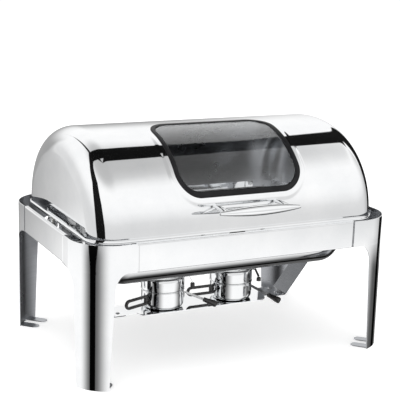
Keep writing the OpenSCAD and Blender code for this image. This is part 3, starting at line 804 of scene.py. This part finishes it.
def lid_handle():
    """Turned spindle with small rounded tips, lying along X."""
    low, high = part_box("lid_handle")
    half, thick = (high.x - low.x) / 2 / MM, (high.z - low.z) / 2 / MM
    axis_y, axis_z = ((high.y + low.y) / 2 - MIDDLE.y) / MM, (high.z + low.z) / 2 / MM
    belly = [
        (HANDLE_TIP_R + (thick - HANDLE_TIP_R) * math.cos(math.pi / 2 * u) ** 0.9, u * (half - HANDLE_TIP_L))
        for u in np.linspace(-1, 1, 73)
    ]
    tip = [(HANDLE_TIP_R * 0.93, half - 0.8), (HANDLE_TIP_R * 0.7, half - 0.2), (0, half)]
    profile = [(r, -z) for r, z in reversed(tip)] + belly + tip
    turn = Matrix.Translation((0, axis_y, axis_z)) @ Matrix.Rotation(math.radians(90), 4, "Y")
    return piece("handle_spindle", [moved(lathe(profile, 64), turn)], "lid", "polished_steel",
                 ["lid_handle"], sharp=50)


# ---------- burners ----------
def on_burner(side):
    """Where a burner stands: side is -1 for the left one and 1 for the right one."""
    turn = LEFT_TURN if side < 0 else 0
    return Matrix.Translation((side * BURNER_X, 0, 0)) @ Matrix.Rotation(math.radians(turn), 4, "Z")


def burner(side):
    """Cup with a beaded mouth, its drawn cover, and the black loop and grip."""
    word = "left" if side < 0 else "right"
    body = "burner_" + word
    spot = on_burner(side)
    mouth, top = BURNER_Z + CUP_H, BURNER_Z + BURNER_H
    r, foot_r, edge_r = CUP_R - 0.8, CUP_FOOT_R, COVER_EDGE_R
    inner_r, foot_z = r - CUP_WALL, BURNER_Z + foot_r
    cup = [(0, BURNER_Z), (r - foot_r - 2, BURNER_Z)] + arc(r - foot_r, foot_z, foot_r, -90, 0, 12)
    cup += [(r, z) for z in np.linspace(foot_z + 2, mouth - 4.2, 5)]
    cup += arc(r + 0.3, mouth - 2.0, 1.1, -90, 90, 8) + [(r, mouth - 0.6), (inner_r, mouth - 0.6)]
    cup += [(inner_r, foot_z)] + arc(r - foot_r, foot_z, foot_r - CUP_WALL, 0, -90, 8)
    cup += [(0, BURNER_Z + CUP_WALL)]
    cover = [(VENT_R, top - 1), (VENT_R, top - 0.2), (VENT_R + 0.3, top), (CUP_R - 6, top)]
    cover += arc(CUP_R - edge_r, top - edge_r, edge_r, 90, 0, 10)
    cover += [(CUP_R, mouth + 0.9), (CUP_R - 0.2, mouth + 0.3), (CUP_R - 0.8, mouth)]
    cover += [(CUP_R - CUP_WALL, mouth + 0.4), (CUP_R - CUP_WALL, top - edge_r)]
    cover += arc(CUP_R - edge_r, top - edge_r, edge_r - CUP_WALL, 0, 90, 6)
    piece("cup_turned_" + word, [moved(lathe(cup), spot)], body, "polished_steel",
          ["burner_cup_" + word], sharp=40)
    piece("cover_drawn_" + word, [moved(lathe(cover, closed=True), spot)], body, "polished_steel",
          ["burner_cover_" + word], sharp=40)
    burner_loop(word, body, spot)
    burner_grip(word, body, spot)


def burner_loop(word, body, spot):
    """Black loop: a rounded bar bent round a long eye, and a stem that joins it to the cup."""
    base = CUP_R - 0.2
    r = (LOOP_H - LOOP_BAR) / 2
    end_x = LOOP_H / 2 - base - LOOP_L
    middle_z = BURNER_Z + 10 + LOOP_H / 2
    path = [((x, -r), (0, -1)) for x in np.linspace(-base - 0.6, end_x, 10)]
    path += [((end_x + r * math.cos(a), r * math.sin(a)), (math.cos(a), math.sin(a)))
             for a in np.radians(np.linspace(-90, -270, 25))[1:-1]]
    path += [((x, r), (0, 1)) for x in np.linspace(end_x, -base - 0.6, 10)]
    section = oval(2.8, 3.3, 0.7)
    bar = [[(x + n[0] * o, w, middle_z + z + n[1] * o) for o, w in section] for (x, z), n in path]
    stem = [[(-base - out, w * grow, middle_z + z * grow) for w, z in oval(3.3, 7.2)]
            for out, grow in ((0.2, 1.0), (3.5, 0.97), (5.6, 0.8), (6.0, 0.6))]
    parts = [moved(part, spot) for part in capped(bar) + capped(stem)]
    piece("loop_moulded_" + word, parts, body, "black_bakelite", ["burner_loop_" + word], sharp=45)


def burner_grip(word, body, spot):
    """Tapered black grip on the strap, with a collar and a rounded end."""
    profile = [(0, 0), (4.0, 0), (4.5, 0.5), (4.6, 2.5), (4.2, 3.2), (4.7, 4.0)]
    profile += [(4.7 + 1.8 * smooth(z, 4, 24), z) for z in np.linspace(5, 24, 10)]
    profile += [(6.45, GRIP_L - 3), (6.1, GRIP_L - 1.4), (5.2, GRIP_L - 0.4), (3.4, GRIP_L), (0, GRIP_L)]
    turn = spot @ Matrix.Rotation(math.radians(GRIP_TURN), 4, "Z")
    turn = turn @ Matrix.Translation((CUP_R + GRIP_OUT, 0, BURNER_Z + CUP_H - GRIP_DROP))
    turn = turn @ Matrix.Rotation(math.radians(GRIP_TILT), 4, "Y")
    piece("grip_moulded_" + word, [moved(lathe(profile, 40), turn)], body, "black_bakelite",
          ["burner_grip_" + word], sharp=50)


# ---------- CAD nodes that keep their own shape ----------
def finish_cad_nodes():
    """Gives every CAD node that is still shown its material and softly rounded edges."""
    for part in frame["record"]["subparts"]:
        obj = nodes[part["node"]]
        if obj.hide_render:
            continue
        obj.data.materials.clear()
        look = "dull_sheet" if part["node"] in DULL_NODES else part["material_slot"]
        obj.data.materials.append(MATERIALS[look])
        weld = obj.modifiers.new("weld", "WELD")
        weld.merge_threshold = 0.00001
        low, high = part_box(part["node"])
        thin = min(high - low) / MM
        rounding(obj, min(0.4, thin / 5), limit=35)


# ---------- studio ----------
# Brightness of the tent at each elevation, in degrees
TENT = [
    (-90, 0.05), (-80, 0.12), (-70, 0.36), (-60, 0.64), (-48, 0.86), (-30, 0.97), (-16, 0.95),
    (-13.5, 0.70), (-4, 0.69), (3, 0.72), (10, 0.83), (18, 0.92), (27, 0.95), (46, 0.94), (51, 0.86),
    (55, 0.75), (60, 0.60), (66, 0.51), (78, 0.47), (90, 0.47),
]
# Left and right edge of each black card: (elevation, azimuth) in degrees, azimuth 0 in front
RIGHT_CARD = (
    [(-90, 96), (-16, 96), (-13, 101), (10, 100), (22, 106), (40, 112), (52, 106), (90, 100)],
    [(-90, 116), (-16, 116), (-13, 134), (30, 134), (45, 130), (90, 128)],
)
LEFT_CARD = (
    [(-90, -72), (-17, -71.5), (-15, -80.5), (-5.6, -84.7), (12, -88.5), (33, -94), (49, -112),
     (60, -134), (70, -150)],
    [(-90, -55), (-17, -55.5), (-15, -44.5), (0, -46.8), (23.5, -57), (46, -74), (57, -101),
     (63, -112), (70, -120)],
)
# Bar and pole overhead, on a level plane one unit above the object: the bar's edges are parabolas
# that go on level to the right of their last x
BAR_NEAR, BAR_NEAR_CURVE, BAR_NEAR_LAST = 0.125, 0.38, 0.42
BAR_FAR, BAR_FAR_CURVE, BAR_FAR_LAST = 0.41, 0.45, 0.45
BAR_LEFT, BAR_RIGHT, BAR_SOFT = -0.82, 1.05, 0.008
POLE_X, POLE_HALF, POLE_SOFT = -0.345, 0.055, 0.012
REFLECTED, PLAIN = 1.12, 1.06


class World(Shader):
    """Node helper on the world's own tree."""

    def __init__(self):
        world = bpy.data.worlds.new("studio")
        scene.world = world
        world.use_nodes = True
        self.tree = world.node_tree
        self.tree.nodes.clear()

    def ease(self, value, from_low, from_high, to_low=0, to_high=1):
        """Soft step between two values, level beyond them."""
        return self.spread(value, from_low, from_high, to_low, to_high, "SMOOTHSTEP")

    def curve(self, value, points, low_y, high_y):
        """Piecewise line through (elevation, value) points."""
        made = self.node("ShaderNodeFloatCurve", {"Value": self.spread(value, -90, 90, 0, 1)})
        line = made.mapping.curves[0]
        wanted = [((x + 90) / 180, (y - low_y) / (high_y - low_y)) for x, y in points]
        while len(line.points) < len(wanted):
            line.points.new(0.5, 0.5)
        for point, (x, y) in zip(line.points, wanted):
            point.location = (x, y)
            point.handle_type = "VECTOR"
        made.mapping.update()
        return self.spread(made.outputs["Value"], 0, 1, low_y, high_y)

    def card(self, azimuth, elevation, left, right, soft_left=1.5, soft_right=1.5):
        """1 inside a dark card whose left and right edges follow the elevation, else 0."""
        after = self.maths("SUBTRACT", azimuth, self.curve(elevation, left, -180, 180))
        before = self.maths("SUBTRACT", self.curve(elevation, right, -180, 180), azimuth)
        inside_left = self.ease(after, -soft_left / 2, soft_left / 2)
        inside_right = self.ease(before, -soft_right / 2, soft_right / 2)
        return self.times(inside_left, inside_right)


def upright(azimuth):
    """Card edge that stands at the same azimuth from bottom to top."""
    return [(-90, azimuth), (90, azimuth)]


def overhead_cards(w, x, y, z):
    """1 in the bar overhead and in the pole that runs back from it, else 0."""
    above = w.maths("MAXIMUM", z, 0.001)
    plan_x, plan_y = w.maths("DIVIDE", x, above), w.maths("DIVIDE", y, above)
    near_x, far_x = (w.maths("MINIMUM", plan_x, last) for last in (BAR_NEAR_LAST, BAR_FAR_LAST))
    near_edge = w.maths("ADD", w.times(near_x, near_x, BAR_NEAR_CURVE), BAR_NEAR)
    far_edge = w.maths("ADD", w.times(far_x, far_x, BAR_FAR_CURVE), BAR_FAR)
    far_edge = w.maths("MINIMUM", far_edge, w.spread(plan_x, BAR_LEFT, -0.12, 0.31, 0.60))
    bar = w.times(
        w.ease(w.maths("SUBTRACT", plan_y, near_edge), -BAR_SOFT, BAR_SOFT),
        w.ease(w.maths("SUBTRACT", far_edge, plan_y), -BAR_SOFT, BAR_SOFT),
        w.ease(plan_x, BAR_LEFT - 0.02, BAR_LEFT + 0.02),
        w.ease(plan_x, BAR_RIGHT - 0.05, BAR_RIGHT + 0.05, 1, 0),
        w.ease(z, 0.05, 0.1))
    from_pole = w.maths("ABSOLUTE", w.maths("SUBTRACT", plan_x, POLE_X))
    pole_half = w.spread(plan_y, 0.45, 1.8, POLE_HALF, 0.0)
    pole = w.times(
        w.ease(w.maths("SUBTRACT", pole_half, from_pole), -POLE_SOFT, POLE_SOFT),
        w.ease(plan_y, 0.42, 0.46),
        w.ease(z, 0.3, 0.4))
    return w.maths("MAXIMUM", bar, pole)


def greys(w, azimuth, elevation):
    """Grey areas of the tent: low down on both sides, behind, and on the right beside its card."""
    left_fall = w.card(azimuth, elevation, upright(-86), upright(-34), 34, 44)
    right_fall = w.ease(azimuth, 38, 84)
    low_down = w.ease(elevation, -14.5, -16.5)
    falls = w.times(w.maths("MAXIMUM", left_fall, right_fall), low_down, 0.88)
    behind = w.maths("MAXIMUM", w.spread(azimuth, -159.9, -163.0, 0, 1), w.ease(azimuth, 148, 156))
    behind = w.times(behind, w.ease(elevation, 24, 0, 0, 0.5))
    beside = w.card(azimuth, elevation, upright(84), upright(100), 34, 4)
    beside = w.times(beside, w.ease(elevation, 50, 30, 0, 0.32))
    return falls, behind, beside


def studio():
    """White tent with a few black cards: a tall one on each side, and a bar and a pole overhead."""
    w = World()
    direction = w.node("ShaderNodeTexCoord").outputs["Generated"]
    split = w.node("ShaderNodeSeparateXYZ", {"Vector": direction})
    x, y, z = (split.outputs[axis] for axis in "XYZ")
    to_degrees = 180 / math.pi
    azimuth = w.times(w.maths("ARCTAN2", x, w.times(y, -1.0)), to_degrees)
    elevation = w.times(w.maths("ARCSINE", z), to_degrees)

    shade = w.curve(elevation, TENT, 0, 1)
    tall_cards = w.maths("MAXIMUM", *(w.card(azimuth, elevation, *card) for card in (RIGHT_CARD, LEFT_CARD)))
    black = w.times(w.maths("MAXIMUM", tall_cards, overhead_cards(w, x, y, z)), 0.99)
    for grey in (*greys(w, azimuth, elevation), black):
        shade = w.times(shade, w.maths("SUBTRACT", 1.0, grey))

    glossy = w.node("ShaderNodeLightPath").outputs["Is Glossy Ray"]
    reflected = w.node("ShaderNodeBackground", {"Color": (1, 1, 1, 1), "Strength": w.times(shade, REFLECTED)})
    plain = w.node("ShaderNodeBackground", {"Color": (1, 1, 1, 1), "Strength": PLAIN})
    mix = w.node("ShaderNodeMixShader", {0: glossy, 1: plain.outputs[0], 2: reflected.outputs[0]})
    out = w.node("ShaderNodeOutputWorld")
    w.tree.links.new(mix.outputs[0], out.inputs["Surface"])

    studio_floor()
    overhead_light()
    scene.view_settings.view_transform = "Standard"


def studio_floor():
    """Pale floor that the steel does not mirror."""
    floor_mesh = bpy.data.meshes.new("studio_floor")
    bm = bmesh.new()
    bmesh.ops.create_grid(bm, x_segments=8, y_segments=8, size=6.0)
    bm.to_mesh(floor_mesh)
    bm.free()
    floor = bpy.data.objects.new("studio_floor", floor_mesh)
    floor.data.materials.append(pale_floor())
    scene.collection.objects.link(floor)
    floor.visible_glossy = False


def overhead_light():
    """Large soft light above the front left."""
    soft = bpy.data.lights.new("soft_overhead", "AREA")
    soft.shape = "RECTANGLE"
    soft.size, soft.size_y = 2.4, 1.8
    soft.energy = 14
    lamp = bpy.data.objects.new("soft_overhead", soft)
    lamp.location = (-0.8, -1.0, 2.6)
    lamp.rotation_euler = (-lamp.location).to_track_quat("-Z", "Y").to_euler()
    lamp.visible_glossy = False
    scene.collection.objects.link(lamp)


def camera():
    """Long lens from the front left, a little above the lid."""
    azimuth, elevation, roll = math.radians(-26.6), math.radians(13.31), math.radians(1.6)
    target = Vector((0.001307, 0, 0.282856)) + MIDDLE
    distance = 2.17715
    back = Vector((math.sin(azimuth) * math.cos(elevation), -math.cos(azimuth) * math.cos(elevation),
                   math.sin(elevation)))
    level = back.cross(Vector((0, 0, 1))).normalized() * -1
    above = back.cross(level)
    right = level * math.cos(roll) + above * math.sin(roll)
    up = back.cross(right)
    data = bpy.data.cameras.new("camera")
    data.lens, data.sensor_width = 96.97, 36
    data.clip_start = 0.05
    eye = bpy.data.objects.new("camera", data)
    turn = Matrix((right, up, back)).transposed().to_4x4()
    eye.matrix_world = Matrix.Translation(target + back * distance) @ turn
    scene.collection.objects.link(eye)
    scene.camera = eye


# ---------- building ----------
camera()
for side_x, word_x in ((-1, "left"), (1, "right")):
    for side_y, word_y in ((-1, "front"), (1, "rear")):
        leg(f"leg_{word_y}_{word_x}", side_x, side_y)
panels()
pan("water_pan", "polished_steel", **WATER_PAN)
pan("food_pan", "satin_steel", **FOOD_PAN)
lid_shell()
window_gasket()
window_pane()
lid_handle()
for side_x in (-1, 1):
    burner(side_x)
finish_cad_nodes()
studio()

bpy.context.view_layer.update()
